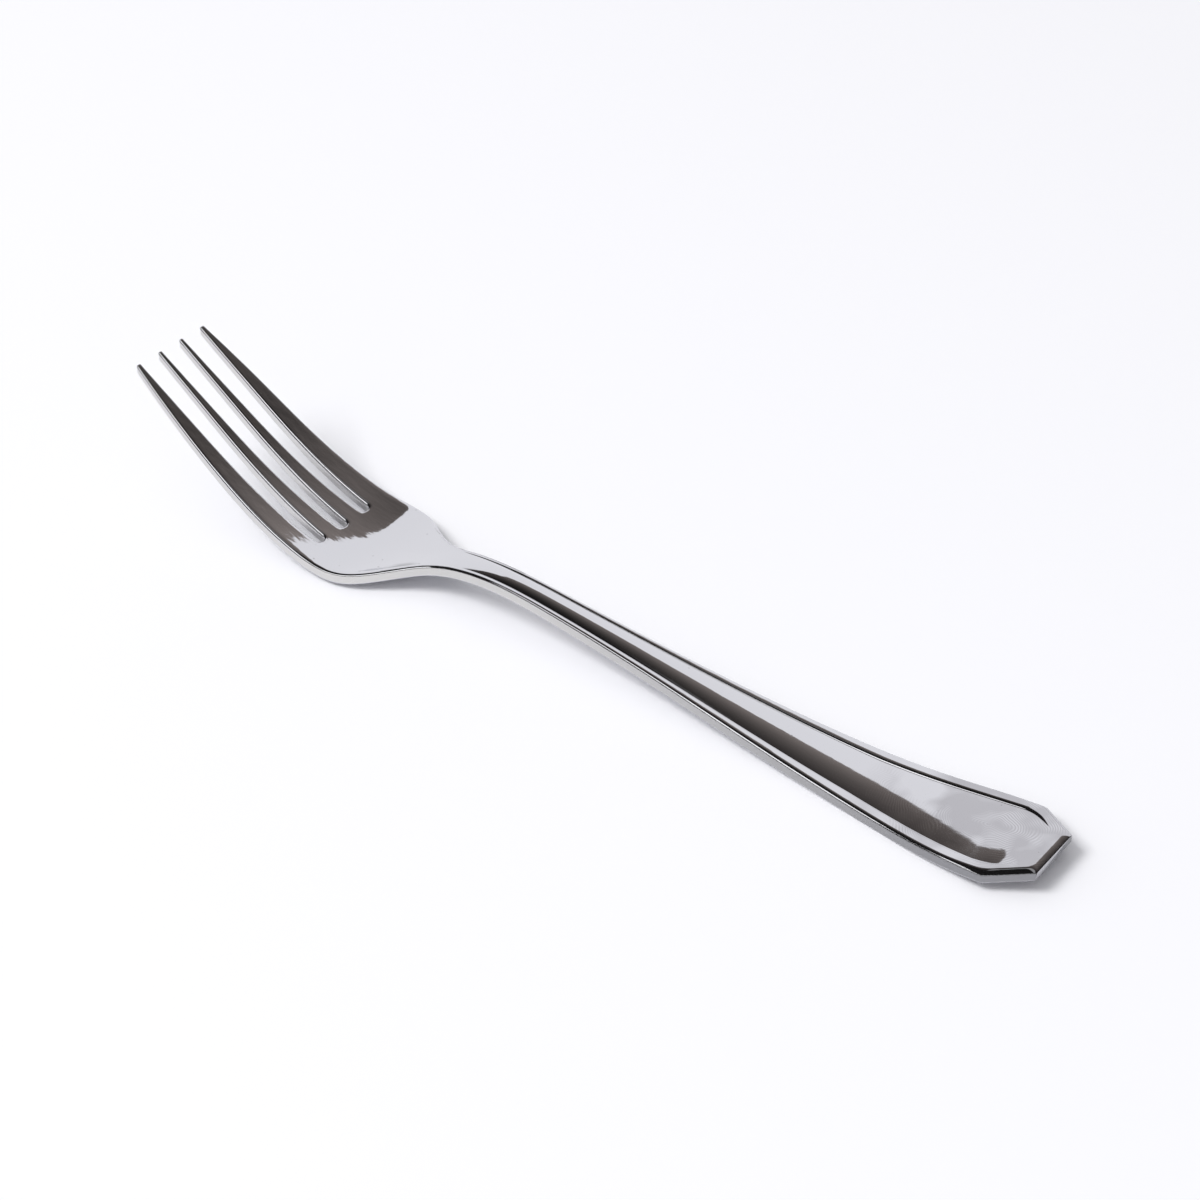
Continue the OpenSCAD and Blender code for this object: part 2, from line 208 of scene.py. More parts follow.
# Brown ceiling: the height up to which it is brightest, how fast it darkens above that, and how it
# brightens from side to side
CEILING_TURN = math.radians(-100)
CEILING_COLOUR = "#fff0e8"
CEILING_NEAR = 1.15
CEILING_FALL = -1.5
CEILING_FADE = (-0.75, 0.55, 0.0, 0.34)
# Dark room, with a dim light patch straight above, on one side of a line beside the zenith: that
# side's azimuth in degrees, and how the patch brightens toward the zenith and across the line
ROOM_COLOUR = "#1e1d1d"
OVERHEAD_TURN = 240
OVERHEAD_FADE = (0.935, 0.965, 0.0, 0.4)
OVERHEAD_SIDE_FADE = (-0.05, 0.01, 0.0, 1.0)
# Light that reaches the table from the world: the azimuth and elevation that it is strongest from,
# in degrees, and how it grows from a right angle away up to there
TABLE_LIGHT_COLOUR = "#fcfcff"
TABLE_LIGHT_PLACE = (50, 64)
TABLE_LIGHT_FADE = (0.0, 1.0, 0.115, 0.855)
# Lamps: azimuth and elevation in degrees, distance, width and height in metres, and power in watts
KEY_SOFTBOX = {"place": (56, 53), "distance": 3.2, "size": (1.3, 1.3), "power": 62.5}
SIDE_CARD = {"place": (110, 44), "distance": 1.2, "size": (2.5, 0.6), "power": 7}


# Curves of the fork's outlines


def smooth_curve(knots, first, last):
    """Function of the curve through the knots whose slope and bend are continuous."""
    x, y = np.array(knots, float).T
    step = np.diff(x)
    rise = np.diff(y) / step
    last_knot = len(x) - 1
    system = np.eye(len(x))
    right = np.zeros(len(x))
    right[0], right[-1] = first, last
    for i in range(1, last_knot):
        system[i, i - 1:i + 2] = step[i], 2 * (step[i - 1] + step[i]), step[i - 1]
        right[i] = 3 * (step[i] * rise[i - 1] + step[i - 1] * rise[i])
    slope = np.linalg.solve(system, right)

    def height(station):
        i = np.clip(np.searchsorted(x, station, side="right") - 1, 0, last_knot - 1)
        t = np.clip((station - x[i]) / step[i], 0, 1)
        start = (2 * t**3 - 3 * t**2 + 1) * y[i] + (t**3 - 2 * t**2 + t) * step[i] * slope[i]
        end = (3 * t**2 - 2 * t**3) * y[i + 1] + (t**3 - t**2) * step[i] * slope[i + 1]
        return start + end

    return height


def between(x0, x1, y0, y1, shares):
    """Knots at shares of the way from x0 to x1 and of the change from y0 to y1."""
    return [(x0 + (x1 - x0) * sx, y0 + (y1 - y0) * sy) for sx, sy in shares]


underside = smooth_curve(
    [(0, END_LIFT)]
    + between(0, REST_STATION, 0, END_LIFT, END_RISE_SHARES)
    + [(REST_STATION, -REST_WEAR)]
    + between(REST_STATION, ARCH_STATION, 0, ARCH_HEIGHT, HANDLE_RISE_SHARES)
    + [(ARCH_STATION, ARCH_HEIGHT)]
    + between(ARCH_STATION, BOWL_STATION, 0, ARCH_HEIGHT, NECK_FALL_SHARES)
    + [(BOWL_STATION, -REST_WEAR)]
    + between(BOWL_STATION, LENGTH, 0, TIP_RISE, TINE_RISE_SHARES)
    + [(LENGTH, TIP_RISE)],
    END_SLOPE_SHARE * END_LIFT / REST_STATION,
    TIP_SLOPE_SHARE * TIP_RISE / (LENGTH - BOWL_STATION),
)
half_width = smooth_curve(
    [(FACET_LENGTH, HANDLE_WIDTH / 2)]
    + between(FACET_LENGTH, NECK_STATION, NECK_WIDTH / 2, HANDLE_WIDTH / 2, HANDLE_TAPER_SHARES)
    + [(NECK_STATION, NECK_WIDTH / 2)]
    + between(NECK_STATION, WIDEST_STATION, NECK_WIDTH / 2, BOWL_WIDTH / 2, SHOULDER_SHARES)
    + [(WIDEST_STATION, BOWL_WIDTH / 2)]
    + between(WIDEST_STATION, LENGTH, TIP_SPAN / 2, BOWL_WIDTH / 2, HEAD_TAPER_SHARES)
    + [(LENGTH, TIP_SPAN / 2)],
    WIDEST_SLOPE_SHARE * (HANDLE_WIDTH - NECK_WIDTH) / 2 / (NECK_STATION - FACET_LENGTH),
    TIP_TAPER_SHARE * (BOWL_WIDTH - TIP_SPAN) / 2 / (LENGTH - WIDEST_STATION),
)
dish_depth = smooth_curve(
    [(NECK_STATION, 0)]
    + between(NECK_STATION, BOWL_STATION, 0, DISH_DEPTH, DISH_IN_SHARES)
    + [(BOWL_STATION, DISH_DEPTH)]
    + between(BOWL_STATION, LENGTH, 0, DISH_DEPTH, DISH_OUT_SHARES)
    + [(LENGTH, 0)],
    0,
    0,
)


def ramp(x, a, b):
    """Smooth step from 0 at a to 1 at b."""
    t = np.clip((x - a) / (b - a), 0, 1)
    return t * t * (3 - 2 * t)


def soft_min(a, b, softness):
    """Smaller of two lengths, with the crease between them rounded off."""
    near = np.maximum(softness - np.abs(a - b), 0)
    return np.minimum(a, b) - near * near / (4 * softness)


# Heights of the blank over its plan, before the press bends it


FACET_SLOPE = (HANDLE_WIDTH - END_WIDTH) / 2 / FACET_LENGTH
FACET_NORM = math.hypot(1, FACET_SLOPE)


def side_norm(x):
    """Length of a step across the side wall for a unit step in width."""
    step = 0.01
    slope = (half_width(x + step) - half_width(x - step)) / (2 * step)
    return np.hypot(1, np.where(x > FACET_LENGTH, slope, 0))


def outline(x, inset=0.0):
    """Half width of the outline drawn in by the inset on its sides and facets."""
    facet = END_WIDTH / 2 + FACET_SLOPE * x - inset * FACET_NORM
    side = half_width(x) - inset * side_norm(x)
    return soft_min(side, facet, CORNER_SOFTNESS + INNER_SOFTNESS * inset)


def side_distance(x, y):
    """Distance in from the sides, the facets and the handle's end, with corners softer further in."""
    facet = (END_WIDTH / 2 + FACET_SLOPE * x - np.abs(y)) / FACET_NORM
    side = (half_width(x) - np.abs(y)) / side_norm(x)
    inset = np.clip(np.minimum(np.minimum(side, facet), x), 0, BORDER_WIDTH)
    softness = CORNER_SOFTNESS + INNER_SOFTNESS * inset
    return np.maximum(soft_min(soft_min(side, facet, softness), x, softness), 0)


def slot_centre(x):
    """Distance of an outer slot's centre line from the fork's."""
    return SLOT_ROOT_PITCH + (SLOT_TIP_PITCH - SLOT_ROOT_PITCH) * (x - SLOT_ROOT) / SLOT_LENGTH


def half_slot(x):
    """Distance of a slot's wall from its centre line: a round root, then a steady taper."""
    rooted = ROOT_RADIUS**2 - (SLOT_ROOT + ROOT_RADIUS - x) ** 2
    share = (x - SLOT_ROOT - ROOT_RADIUS) / (SLOT_LENGTH - ROOT_RADIUS)
    straight = ROOT_RADIUS + (SLOT_TIP_WIDTH / 2 - ROOT_RADIUS) * share
    return np.where(x < SLOT_ROOT + ROOT_RADIUS, np.sqrt(np.maximum(rooted, 0)), straight)


def slot_distance(x, y):
    """Distance to the nearest of the three slots."""
    nearest = np.full(np.shape(x + y), np.inf)
    for pitch in (-1, 0, 1):
        centre = pitch * slot_centre(np.maximum(x, SLOT_ROOT))
        ahead = np.maximum(SLOT_ROOT + ROOT_RADIUS - x, 0)
        straight = np.abs(y - centre) - half_slot(np.maximum(x, SLOT_ROOT + ROOT_RADIUS))
        round_root = np.hypot(ahead, y - centre) - ROOT_RADIUS
        nearest = np.minimum(nearest, np.where(ahead > 0, round_root, straight))
    return np.maximum(nearest, 0)


def edge_drop(distance, width, drop, power=2):
    """Drop of a rounded edge at a distance in from its wall."""
    inward = np.clip(1 - distance / width, 0, 1)
    return drop * (1 - (1 - inward**power) ** (1 / power))


def end_share(x):
    """Share of the handle's end and facets in its edges: 1 there, and 0 along the sides."""
    return 1 - ramp(x, *END_EDGE_FADE)


def upper_edge(x):
    """Width and drop of the rounded upper edge at a station."""
    bowl = ramp(x, NECK_STATION, BOWL_STATION)
    tine = ramp(x, BOWL_STATION, TINE_EDGE_STATION)
    tip = ramp(x, SLOT_ROOT, LENGTH)
    side_width = np.minimum(HANDLE_EDGE[0], crest_end(x))
    handle_edge = side_width + (END_EDGE_WIDTH - side_width) * end_share(x), HANDLE_EDGE[1]
    edge = []
    for handle, middle, root, last in zip(handle_edge, BOWL_EDGE, TINE_EDGE, TIP_EDGE):
        head = middle * (1 - tine) + root * tine
        edge.append((handle * (1 - bowl) + head * bowl) * (1 - tip) + last * tip)
    return edge


def border_width(x):
    """Width of the raised border, which narrows with the handle."""
    return np.minimum(BORDER_WIDTH, BORDER_SHARE * half_width(np.minimum(x, NECK_STATION)))


def crest_end(x):
    """Distance from the wall at which the border's crest turns down into the groove."""
    border = border_width(x)
    return border - np.minimum(SLOPE_WIDTH, SLOPE_SHARE * border)


def groove_depth(x):
    """Depth of the groove between border and panel."""
    fade_in = ramp(x, GROOVE_FADE_END, FACET_LENGTH)
    fade_out = 1 - ramp(x, NECK_STATION, NECK_STATION + GROOVE_FADE_NECK)
    return GROOVE_DEPTH * border_width(x) / BORDER_WIDTH * fade_in * fade_out


def crown_height(x):
    """Rise of the panel's middle over the border, or its fall where the bowl is dished."""
    return PANEL_CROWN * (1 - ramp(x, *CROWN_FADE)) - dish_depth(x)


def thickness(x):
    """Thickness of the blank, without its crown."""
    toward_bowl = ramp(x, NECK_STATION, WIDEST_STATION)
    toward_tip = np.maximum((x - WIDEST_STATION) / (LENGTH - WIDEST_STATION), 0) ** 2
    bowl = HANDLE_THICKNESS + (BOWL_THICKNESS - HANDLE_THICKNESS) * toward_bowl
    return bowl + (TIP_THICKNESS - BOWL_THICKNESS) * toward_tip


def top_height(x, y):
    """Height of the upper surface above the bottom of the blank's middle."""
    side = side_distance(x, y)
    near = np.minimum(side, slot_distance(x, y))
    power = (
        EDGE_POWER
        + (FACET_EDGE_POWER - EDGE_POWER) * end_share(x)
        + (TINE_EDGE_POWER - EDGE_POWER) * ramp(x, BOWL_STATION, TINE_EDGE_STATION)
    )
    rounded = edge_drop(near, *upper_edge(x), power)
    start = crest_end(x)
    fall = np.clip((side - start) / (border_width(x) - start), 0, 1)
    groove = groove_depth(x) * fall**SLOPE_POWER
    reach = half_width(np.maximum(x, FACET_LENGTH)) - border_width(x)
    share = np.clip(1 - (side - border_width(x)) / reach, 0, 1)
    swell = (crown_height(x) + groove_depth(x)) * (1 - share**2)
    return thickness(x) + np.maximum(dish_depth(x), 0) - rounded - groove + swell


def bottom_height(x, y):
    """Height of the lower surface: it follows the dish, and its edges are rounded."""
    tip = ramp(x, SLOT_ROOT, LENGTH)
    shrink = 1 - tip * (1 - TIP_LOWER_SHARE)
    near = np.minimum(side_distance(x, y), slot_distance(x, y))
    rounded = edge_drop(near, LOWER_EDGE[0] * shrink, LOWER_EDGE[1] * shrink)
    return np.maximum(dish_depth(x), 0) * (y / half_width(x)) ** 2 + rounded


# Mesh of the blank: columns run along the fork, and are bunched at edges and grooves


# Steps across each part of a section, above and below
EDGE_STEPS = 8
CREST_STEPS = 2
SLOPE_STEPS = 10
TINE_STEPS = 10
LOW_ROUND_STEPS = 6
LOW_EDGE_STEPS = 4
LOW_TINE_STEPS = 6
# Most of the half width that an edge's columns take in the head, how far columns that have no room
# at the very end draw in, the share of the lower edge's width that the tines' columns take, and the
# stations between which the handle's columns turn into the head's
MOST_EDGE_SHARE = 0.2
END_CROWDING = 0.15
TINE_LOWER_SHARE = 0.6
HEAD_BLEND = (NECK_STATION + 12, SLOT_ROOT - 4)
# Heights down the side wall, and how much of its finish, and of its painted shade at the handle's
# end, the upper edge's nearest points take
WALL_SHARES = (0.06, 0.35, 0.65, 0.94)
TRIMMED_EDGE = (1, 1, 0.5)
# Stations: where the close ones of the handle's end stop, where the shoulders start, how close they
# lie along each stretch, the gap between stretches, how far before the slots' roots they draw close
# again, and the steps round the handle's end and the roots, along the tines and round their tips
CLOSE_END = 12.0
SHOULDER_START = 108.0
FACET_SPACING = 0.3
HANDLE_SPACING = 1.0
SHOULDER_SPACING = 0.6
STATION_GAP = 0.2
ROOT_APPROACH = 1.0
END_STEPS = 10
ROOT_STEPS = 13
SHANK_STEPS = 59
TIP_STEPS = 6
# Points closer than this are one, and edges shorter than that are dropped, in metres
WELD_DISTANCE = 1e-8
LEAST_EDGE = 1e-9


def quarter_turn(steps):
    """Angles of the points round a quarter turn."""
    return np.linspace(0, math.pi / 2, steps + 1)


def across_tine(inner, outer, width, steps, edge_steps):
    """Places across a tine or its root, from its outer wall to its inner one."""
    rounds = 1 - np.cos(quarter_turn(edge_steps))
    middle = np.linspace(outer - width, inner + width, steps + 1)[1:-1]
    return np.concatenate([outer - width * rounds, middle, (inner + width * rounds)[::-1]])


def head_columns(x, tip_inset, width, steps, edge_steps):
    """Places across half a section of the head: the outer tine's, then the inner tine's."""
    slot = half_slot(x) if x > SLOT_ROOT else 0.0
    centre = slot_centre(max(x, SLOT_ROOT))
    outer = across_tine(
        centre + slot + tip_inset, outline(x) - tip_inset, width, steps, edge_steps
    )
    inner = across_tine(slot + tip_inset, centre - slot - tip_inset, width, steps, edge_steps)
    return outer, inner


def handle_columns(x, count):
    """Places across half a section of the handle: edge, crest, groove and panel."""
    border = float(border_width(x))
    start = float(crest_end(x))
    width = float(upper_edge(x)[0])
    rounds = width * (1 - np.cos(quarter_turn(EDGE_STEPS)))
    crest = np.linspace(width, start, CREST_STEPS + 1)[1:]
    slope = start + (border - start) * np.sin(quarter_turn(SLOPE_STEPS))[1:]
    inset = np.concatenate([rounds, crest, slope])
    reached = np.minimum(inset, max(x, 0.0))
    places = outline(x, reached) * (1 - (inset - reached) / BORDER_WIDTH * END_CROWDING)
    panel = places[-1] * np.linspace(1, 0, count - len(places) + 1)[1:]
    return np.concatenate([places, panel])


def low_handle_columns(x, count):
    """Places across half a section of the handle's underside: its rounded edge, then level."""
    inset = LOWER_EDGE[0] * (1 - np.cos(quarter_turn(LOW_ROUND_STEPS)))
    places = outline(x, np.minimum(inset, max(x, 0.0)))
    level = places[-1] * np.linspace(1, 0, count - LOW_ROUND_STEPS)[1:]
    return np.concatenate([places, level])


def half_section(x, low):
    """Places across half a section, from the wall to the middle, blending handle and head."""
    width = LOWER_EDGE[0] if low else float(upper_edge(x)[0])
    width = min(width, MOST_EDGE_SHARE * float(outline(x)))
    steps, edge_steps = (LOW_TINE_STEPS, LOW_EDGE_STEPS) if low else (TINE_STEPS, EDGE_STEPS)
    outer, inner = head_columns(x, 0.0, width, steps, edge_steps)
    head = np.concatenate([outer, inner[1:]])
    handle = (low_handle_columns if low else handle_columns)(x, len(head))
    blend = float(ramp(x, *HEAD_BLEND))
    return handle * (1 - blend) + head * blend


def ring(top_y, low_y, x, shift=0.0):
    """Loop of points round a section: over the top, down the far wall, back below and up again.

    The last value of each point is its share of the wall's finish, and at the handle's end of its
    painted shade."""
    top = np.column_stack([top_y, top_height(x, top_y) - shift])
    low = np.column_stack([low_y, bottom_height(x, low_y) + shift])
    shares = np.array(WALL_SHARES)[:, None]
    far_wall = top[-1] * (1 - shares) + low[0] * shares
    near_wall = low[-1] * (1 - shares) + top[0] * shares
    loop = np.concatenate([top, far_wall, low, near_wall])
    over_wall = len(TRIMMED_EDGE)
    trimmed = np.zeros(len(loop))
    trimmed[:over_wall] = TRIMMED_EDGE
    trimmed[len(top) - over_wall:len(top)] = TRIMMED_EDGE[::-1]
    trimmed[len(top):len(top) + len(shares)] = 1
    trimmed[-len(shares):] = 1
    return np.column_stack([np.full(len(loop), x), loop, trimmed])


def body_ring(x):
    """Loop round the whole fork at a station before the slots."""
    top = half_section(x, False)
    low = half_section(x, True)
    mirrored_top = np.concatenate([top, -top[:-1][::-1]])
    mirrored_low = np.concatenate([-low, low[:-1][::-1]])
    return ring(mirrored_top, mirrored_low, x)


def tine_ring(x, outer, side, tip_inset):
    """Loop round one tine, drawn in all round by the inset near its tip."""
    pick = 0 if outer else 1
    width = float(upper_edge(x)[0])
    low_width = LOWER_EDGE[0] * (TINE_LOWER_SHARE if x > SLOT_ROOT else 1)
    top = head_columns(x, tip_inset, width, TINE_STEPS, EDGE_STEPS)[pick]
    low = head_columns(x, tip_inset, low_width, LOW_TINE_STEPS, LOW_EDGE_STEPS)[pick]
    if side < 0:
        return ring(-top[::-1], -low, x, tip_inset)
    return ring(top, low[::-1], x, tip_inset)


def body_stations():
    """Stations of the handle, neck and palm, closest where the shape turns fastest."""
    end_edge = END_EDGE_WIDTH * (1 - np.cos(quarter_turn(END_STEPS)))
    facets = np.arange(END_EDGE_WIDTH + STATION_GAP, CLOSE_END, FACET_SPACING)
    handle = np.arange(CLOSE_END, SHOULDER_START, HANDLE_SPACING)
    root_start = SLOT_ROOT - ROOT_APPROACH
    shoulders = np.arange(SHOULDER_START, root_start - STATION_GAP, SHOULDER_SPACING)
    roots = np.linspace(root_start, SLOT_ROOT, ROOT_STEPS + 1)
    return np.concatenate([end_edge, facets, handle, shoulders, roots])


def tine_stations():
    """Stations of the tines, with how far the section is drawn in at each."""
    root = SLOT_ROOT + ROOT_RADIUS * (1 - np.cos(quarter_turn(ROOT_STEPS)))
    shank = np.linspace(SLOT_ROOT + ROOT_RADIUS, LENGTH - TIP_ROUND, SHANK_STEPS + 1)[1:]
    turns = quarter_turn(TIP_STEPS)[1:]
    tip = LENGTH - TIP_ROUND * (1 - np.sin(turns))
    insets = TIP_ROUND * (1 - np.cos(turns))
    plain = np.concatenate([root, shank])
    return list(zip(plain, np.zeros(len(plain)))) + list(zip(tip, insets))


def arc_lengths(stations):
    """Length along the bent side view from the handle's end to each station."""
    height = underside(stations)
    return np.concatenate([[0], np.cumsum(np.hypot(np.diff(stations), np.diff(height)))])


all_stations = np.unique(np.concatenate([body_stations(), [x for x, inset in tine_stations()]]))
path_lengths = arc_lengths(all_stations)


def skin(bm, trimmed, rings, close_start, close_end):
    """Adds the surface over a row of loops, at the blank's flat, unbent places."""
    rows = []
    for points in rings:
        points[:, 0] = np.interp(points[0, 0], all_stations, path_lengths)
        row = [bm.verts.new(point) for point in (points[:, :3] * MM).tolist()]
        for vert, share in zip(row, points[:, 3]):
            vert[trimmed] = share
        rows.append(row)
    count = len(rows[0])
    for a, b in zip(rows, rows[1:]):
        for i in range(count):
            j = (i + 1) % count
            bm.faces.new((a[i], b[i], b[j], a[j]))
    if close_start:
        bm.faces.new(rows[0])
    if close_end:
        bm.faces.new(rows[-1][::-1])


def blank_mesh():
    """The flat blank as one closed skin."""
    bm = bmesh.new()
    trimmed = bm.verts.layers.float.new("trimmed_wall")
    skin(bm, trimmed, [body_ring(float(x)) for x in body_stations()], True, False)
    for side in (1, -1):
        for outer in (True, False):
            rings = [tine_ring(float(x), outer, side, float(inset)) for x, inset in tine_stations()]
            skin(bm, trimmed, rings, False, True)
    bmesh.ops.remove_doubles(bm, verts=bm.verts, dist=WELD_DISTANCE)
    bmesh.ops.dissolve_degenerate(bm, edges=bm.edges, dist=LEAST_EDGE)
    bmesh.ops.recalc_face_normals(bm, faces=bm.faces)
    mesh = bpy.data.meshes.new("fork_blank")
    bm.to_mesh(mesh)
    bm.free()
    mesh.shade_smooth()
    return mesh


def side_view_path():
    """Curve of the underside's side view, which the press bends the blank along."""
    curve = bpy.data.curves.new("side_view", "CURVE")
    curve.dimensions = "3D"
    spline = curve.splines.new("POLY")
    spline.points.add(len(all_stations) - 1)
    for point, x, z in zip(spline.points, all_stations, underside(all_stations)):
        point.co = ((x - LENGTH / 2) * MM, 0, z * MM, 1)
    path = bpy.data.objects.new("side_view", curve)
    bpy.context.scene.collection.objects.link(path)
    return path


# Materials


# Settings that many nodes share
TIMES = {"operation": "MULTIPLY"}
LARGER = {"operation": "MAXIMUM"}
DOT_PRODUCT = {"operation": "DOT_PRODUCT"}
COLOURS = {"data_type": "RGBA"}
TINTED = {"data_type": "RGBA", "blend_type": "MULTIPLY", "clamp_factor": False}
ADDED = {"data_type": "RGBA", "blend_type": "ADD"}
SMOOTH = {"interpolation_type": "SMOOTHSTEP"}
# Range that turns a share into what it lacks of 1
REVERSED = (0, 1, 1, 0)


def linear(hex_colour):
    """Linear colour, with alpha, of an sRGB hex value."""
    parts = [int(hex_colour[i:i + 2], 16) / 255 for i in (1, 3, 5)]
    return [p / 12.92 if p <= 0.04045 else ((p + 0.055) / 1.055) ** 2.4 for p in parts] + [1.0]


def node(tree, kind, settings=None, inputs=()):
    """Adds one node with its settings and its inputs, and gives its outputs.

    Each input is a value or another node's output. They come by name, or in order."""
    made = tree.nodes.new(kind)
    for name, value in (settings or {}).items():
        setattr(made, name, value)
    for name, given in inputs.items() if isinstance(inputs, dict) else enumerate(inputs):
        if isinstance(given, bpy.types.NodeSocket):
            tree.links.new(given, made.inputs[name])
        else:
            made.inputs[name].default_value = given
    return made.outputs


def new_material(name):
    """Material with an empty node tree."""
    material = bpy.data.materials.new(name)
    material.use_nodes = True
    material.node_tree.nodes.clear()
    return material


def marks(tree, place, size, detail, stretch=1.0):
    """Irregular marks of a size in metres, drawn out along the fork."""
    drawn = node(tree, "ShaderNodeMapping", None, {"Vector": place, "Scale": (1 / stretch, 1, 1)})
    return node(tree, "ShaderNodeTexNoise", None, {
        "Vector": drawn["Vector"], "Scale": 1 / size, "Detail": detail, "Roughness": 0.5,
    })["Fac"]


def handling_smudges(tree, place, near_end):
    """Film that fingers leave near the handle's end, parted by fine ridges in some patches."""
    spots = marks(tree, place, SMUDGE_SIZE, detail=2.0)
    spots = node(tree, "ShaderNodeMapRange", None, [spots, *SMUDGE_EDGES, 0, 1])["Result"]
    touched = node(tree, "ShaderNodeMath", TIMES, [spots, near_end])[0]
    centred = node(tree, "ShaderNodeMapping", None, {
        "Vector": place, "Location": RIDGE_SHIFT, "Scale": RIDGE_OVAL,
    })["Vector"]
    rings = {"wave_type": "RINGS", "rings_direction": "SPHERICAL"}
    ridges = node(tree, "ShaderNodeTexWave", rings, {
        "Vector": centred, "Scale": RING_SCALE / RIDGE_SPACING, **RIDGE_BENDS,
    })["Fac"]
    patches = marks(tree, place, RIDGE_PATCH_SIZE, detail=1.0)
    parted = [patches, *RIDGE_PATCH_EDGES, 0, RIDGE_DEPTH]
    parted = node(tree, "ShaderNodeMapRange", None, parted)["Result"]
    between_ridges = node(tree, "ShaderNodeMapRange", None, [ridges, *REVERSED])["Result"]
    missing = node(tree, "ShaderNodeMath", TIMES, [parted, between_ridges])[0]
    left = node(tree, "ShaderNodeMapRange", None, [missing, *REVERSED])["Result"]
    return node(tree, "ShaderNodeMath", TIMES, [touched, left])[0]


def pinhead_flecks(tree, place):
    """Dull pits that the polish doesn't reach, at some of the scattered places."""
    cells = node(tree, "ShaderNodeTexVoronoi", {"feature": "F1"}, {
        "Vector": place, "Scale": 1 / FLECK_SPACING, "Randomness": 1.0,
    })
    dot = [cells["Distance"], FLECK_RADIUS / FLECK_SPACING, 0, 0, 1]
    dot = node(tree, "ShaderNodeMapRange", None, dot)["Result"]
    chance = node(tree, "ShaderNodeSeparateColor", None, [cells["Color"]])["Red"]
    chosen = node(tree, "ShaderNodeMath", {"operation": "LESS_THAN"}, [chance, FLECK_SHARE])[0]
    return node(tree, "ShaderNodeMath", TIMES, [dot, chosen])[0]


def mirror_polished_stainless():
    """18/10 stainless steel, tumbled and buffed: a near mirror with faint haze and fine waves.

    The blanked walls keep a fine grain that scatters light, and look like pale satin. Near the
    handle's end their colour is darkened, as painted shade for the shadowed table that they mirror."""
    material = new_material("mirror_polished_stainless")
    tree = material.node_tree
    place = node(tree, "ShaderNodeTexCoord")["Object"]
    station = node(tree, "ShaderNodeSeparateXYZ", None, [place])["X"]
    wall = node(tree, "ShaderNodeAttribute", {"attribute_name": "trimmed_wall"})["Fac"]
    # what changes along the fork, each from its value at the first station to that at the second
    near_end, waviness, graininess, wall_roughness, toward_head = [
        node(tree, "ShaderNodeMapRange", None, [station, *stations, *values])["Result"]
        for stations, values in (
            (SMUDGE_FADE, (0, 1)),
            (PALM_WAVE_FADE, (1, PALM_WAVES)),
            (GRAIN_FADE, (1, 0)),
            (GRAIN_FADE, (WALL_ROUGHNESS, TINE_WALL_ROUGHNESS)),
            (SHADED_END_WALL_FADE, (0, 1)),
        )
    ]

    # waves that the buffing wheel leaves, drawn out along the fork: they make reflected edges ragged
    waves = marks(tree, place, WAVE_SIZE, detail=3.0, stretch=WAVE_STRETCH)
    waves = node(tree, "ShaderNodeMath", TIMES, [waves, waviness])[0]
    # hairlines of the last polish, all along the fork
    hairlines = marks(tree, place, HAIRLINE_SIZE, detail=2.0, stretch=HAIRLINE_STRETCH)
    # grain that the blanking tool leaves on the walls
    grain = marks(tree, place, GRAIN_SIZE, detail=3.0)
    grainy = node(tree, "ShaderNodeMath", TIMES, [wall, graininess])[0]
    grain = node(tree, "ShaderNodeMath", TIMES, [grain, grainy])[0]
    reliefs = [(waves, WAVE_HEIGHT), (hairlines, HAIRLINE_HEIGHT), (grain, GRAIN_HEIGHT)]
    below = {}
    for relief, height in reliefs:
        normal = node(tree, "ShaderNodeBump", None, {
            "Strength": 1.0, "Distance": height, "Height": relief, **below,
        })["Normal"]
        below = {"Normal": normal}

    smudge = handling_smudges(tree, place, near_end)
    fleck = pinhead_flecks(tree, place)
    haze = node(tree, "ShaderNodeMapRange", None, [hairlines, *HAZE_EDGES, *HAZE])["Result"]
    smeared = node(tree, "ShaderNodeMath", TIMES, [smudge, SMUDGE_HAZE])[0]
    roughness = node(tree, "ShaderNodeMath", {"operation": "ADD"}, [haze, smeared])[0]
    for share, layer in ((wall, wall_roughness), (fleck, FLECK_ROUGHNESS)):
        rough = node(tree, "ShaderNodeMath", TIMES, [share, layer])[0]
        roughness = node(tree, "ShaderNodeMath", LARGER, [roughness, rough])[0]

    film = node(tree, "ShaderNodeMath", TIMES, [smudge, SMUDGE_FILM])[0]
    # painted shade: the walls' colour darkens toward the handle's end, standing in for the shadowed
    # table that they mirror
    shaded_wall_colour = node(tree, "ShaderNodeMix", COLOURS, {
        "Factor": toward_head, "A": linear(SHADED_END_WALL_COLOUR), "B": linear(WALL_COLOUR),
    })["Result"]
    colour = linear(STEEL_COLOUR)
    for share, layer in (
        (film, linear(FILM_COLOUR)), (fleck, linear(FLECK_COLOUR)), (wall, shaded_wall_colour),
    ):
        mixed = {"Factor": share, "A": colour, "B": layer}
        colour = node(tree, "ShaderNodeMix", COLOURS, mixed)["Result"]
    steel = node(tree, "ShaderNodeBsdfPrincipled", None, {
        "Metallic": 1.0, "Normal": normal, "Roughness": roughness, "Base Color": colour,
    })
    node(tree, "ShaderNodeOutputMaterial", None, {"Surface": steel["BSDF"]})
    return material


def matt_white_laminate():
    """Matt laminate of the table top: an even white that scatters light and mirrors nothing."""
    material = new_material("matt_white_laminate")
    tree = material.node_tree
    surface = node(tree, "ShaderNodeBsdfPrincipled", None, {
        "Base Color": linear(TABLE_COLOUR), "Roughness": TABLE_ROUGHNESS,
    })
    node(tree, "ShaderNodeOutputMaterial", None, {"Surface": surface["BSDF"]})
    return material


# Press: bends the flat blank along the side view


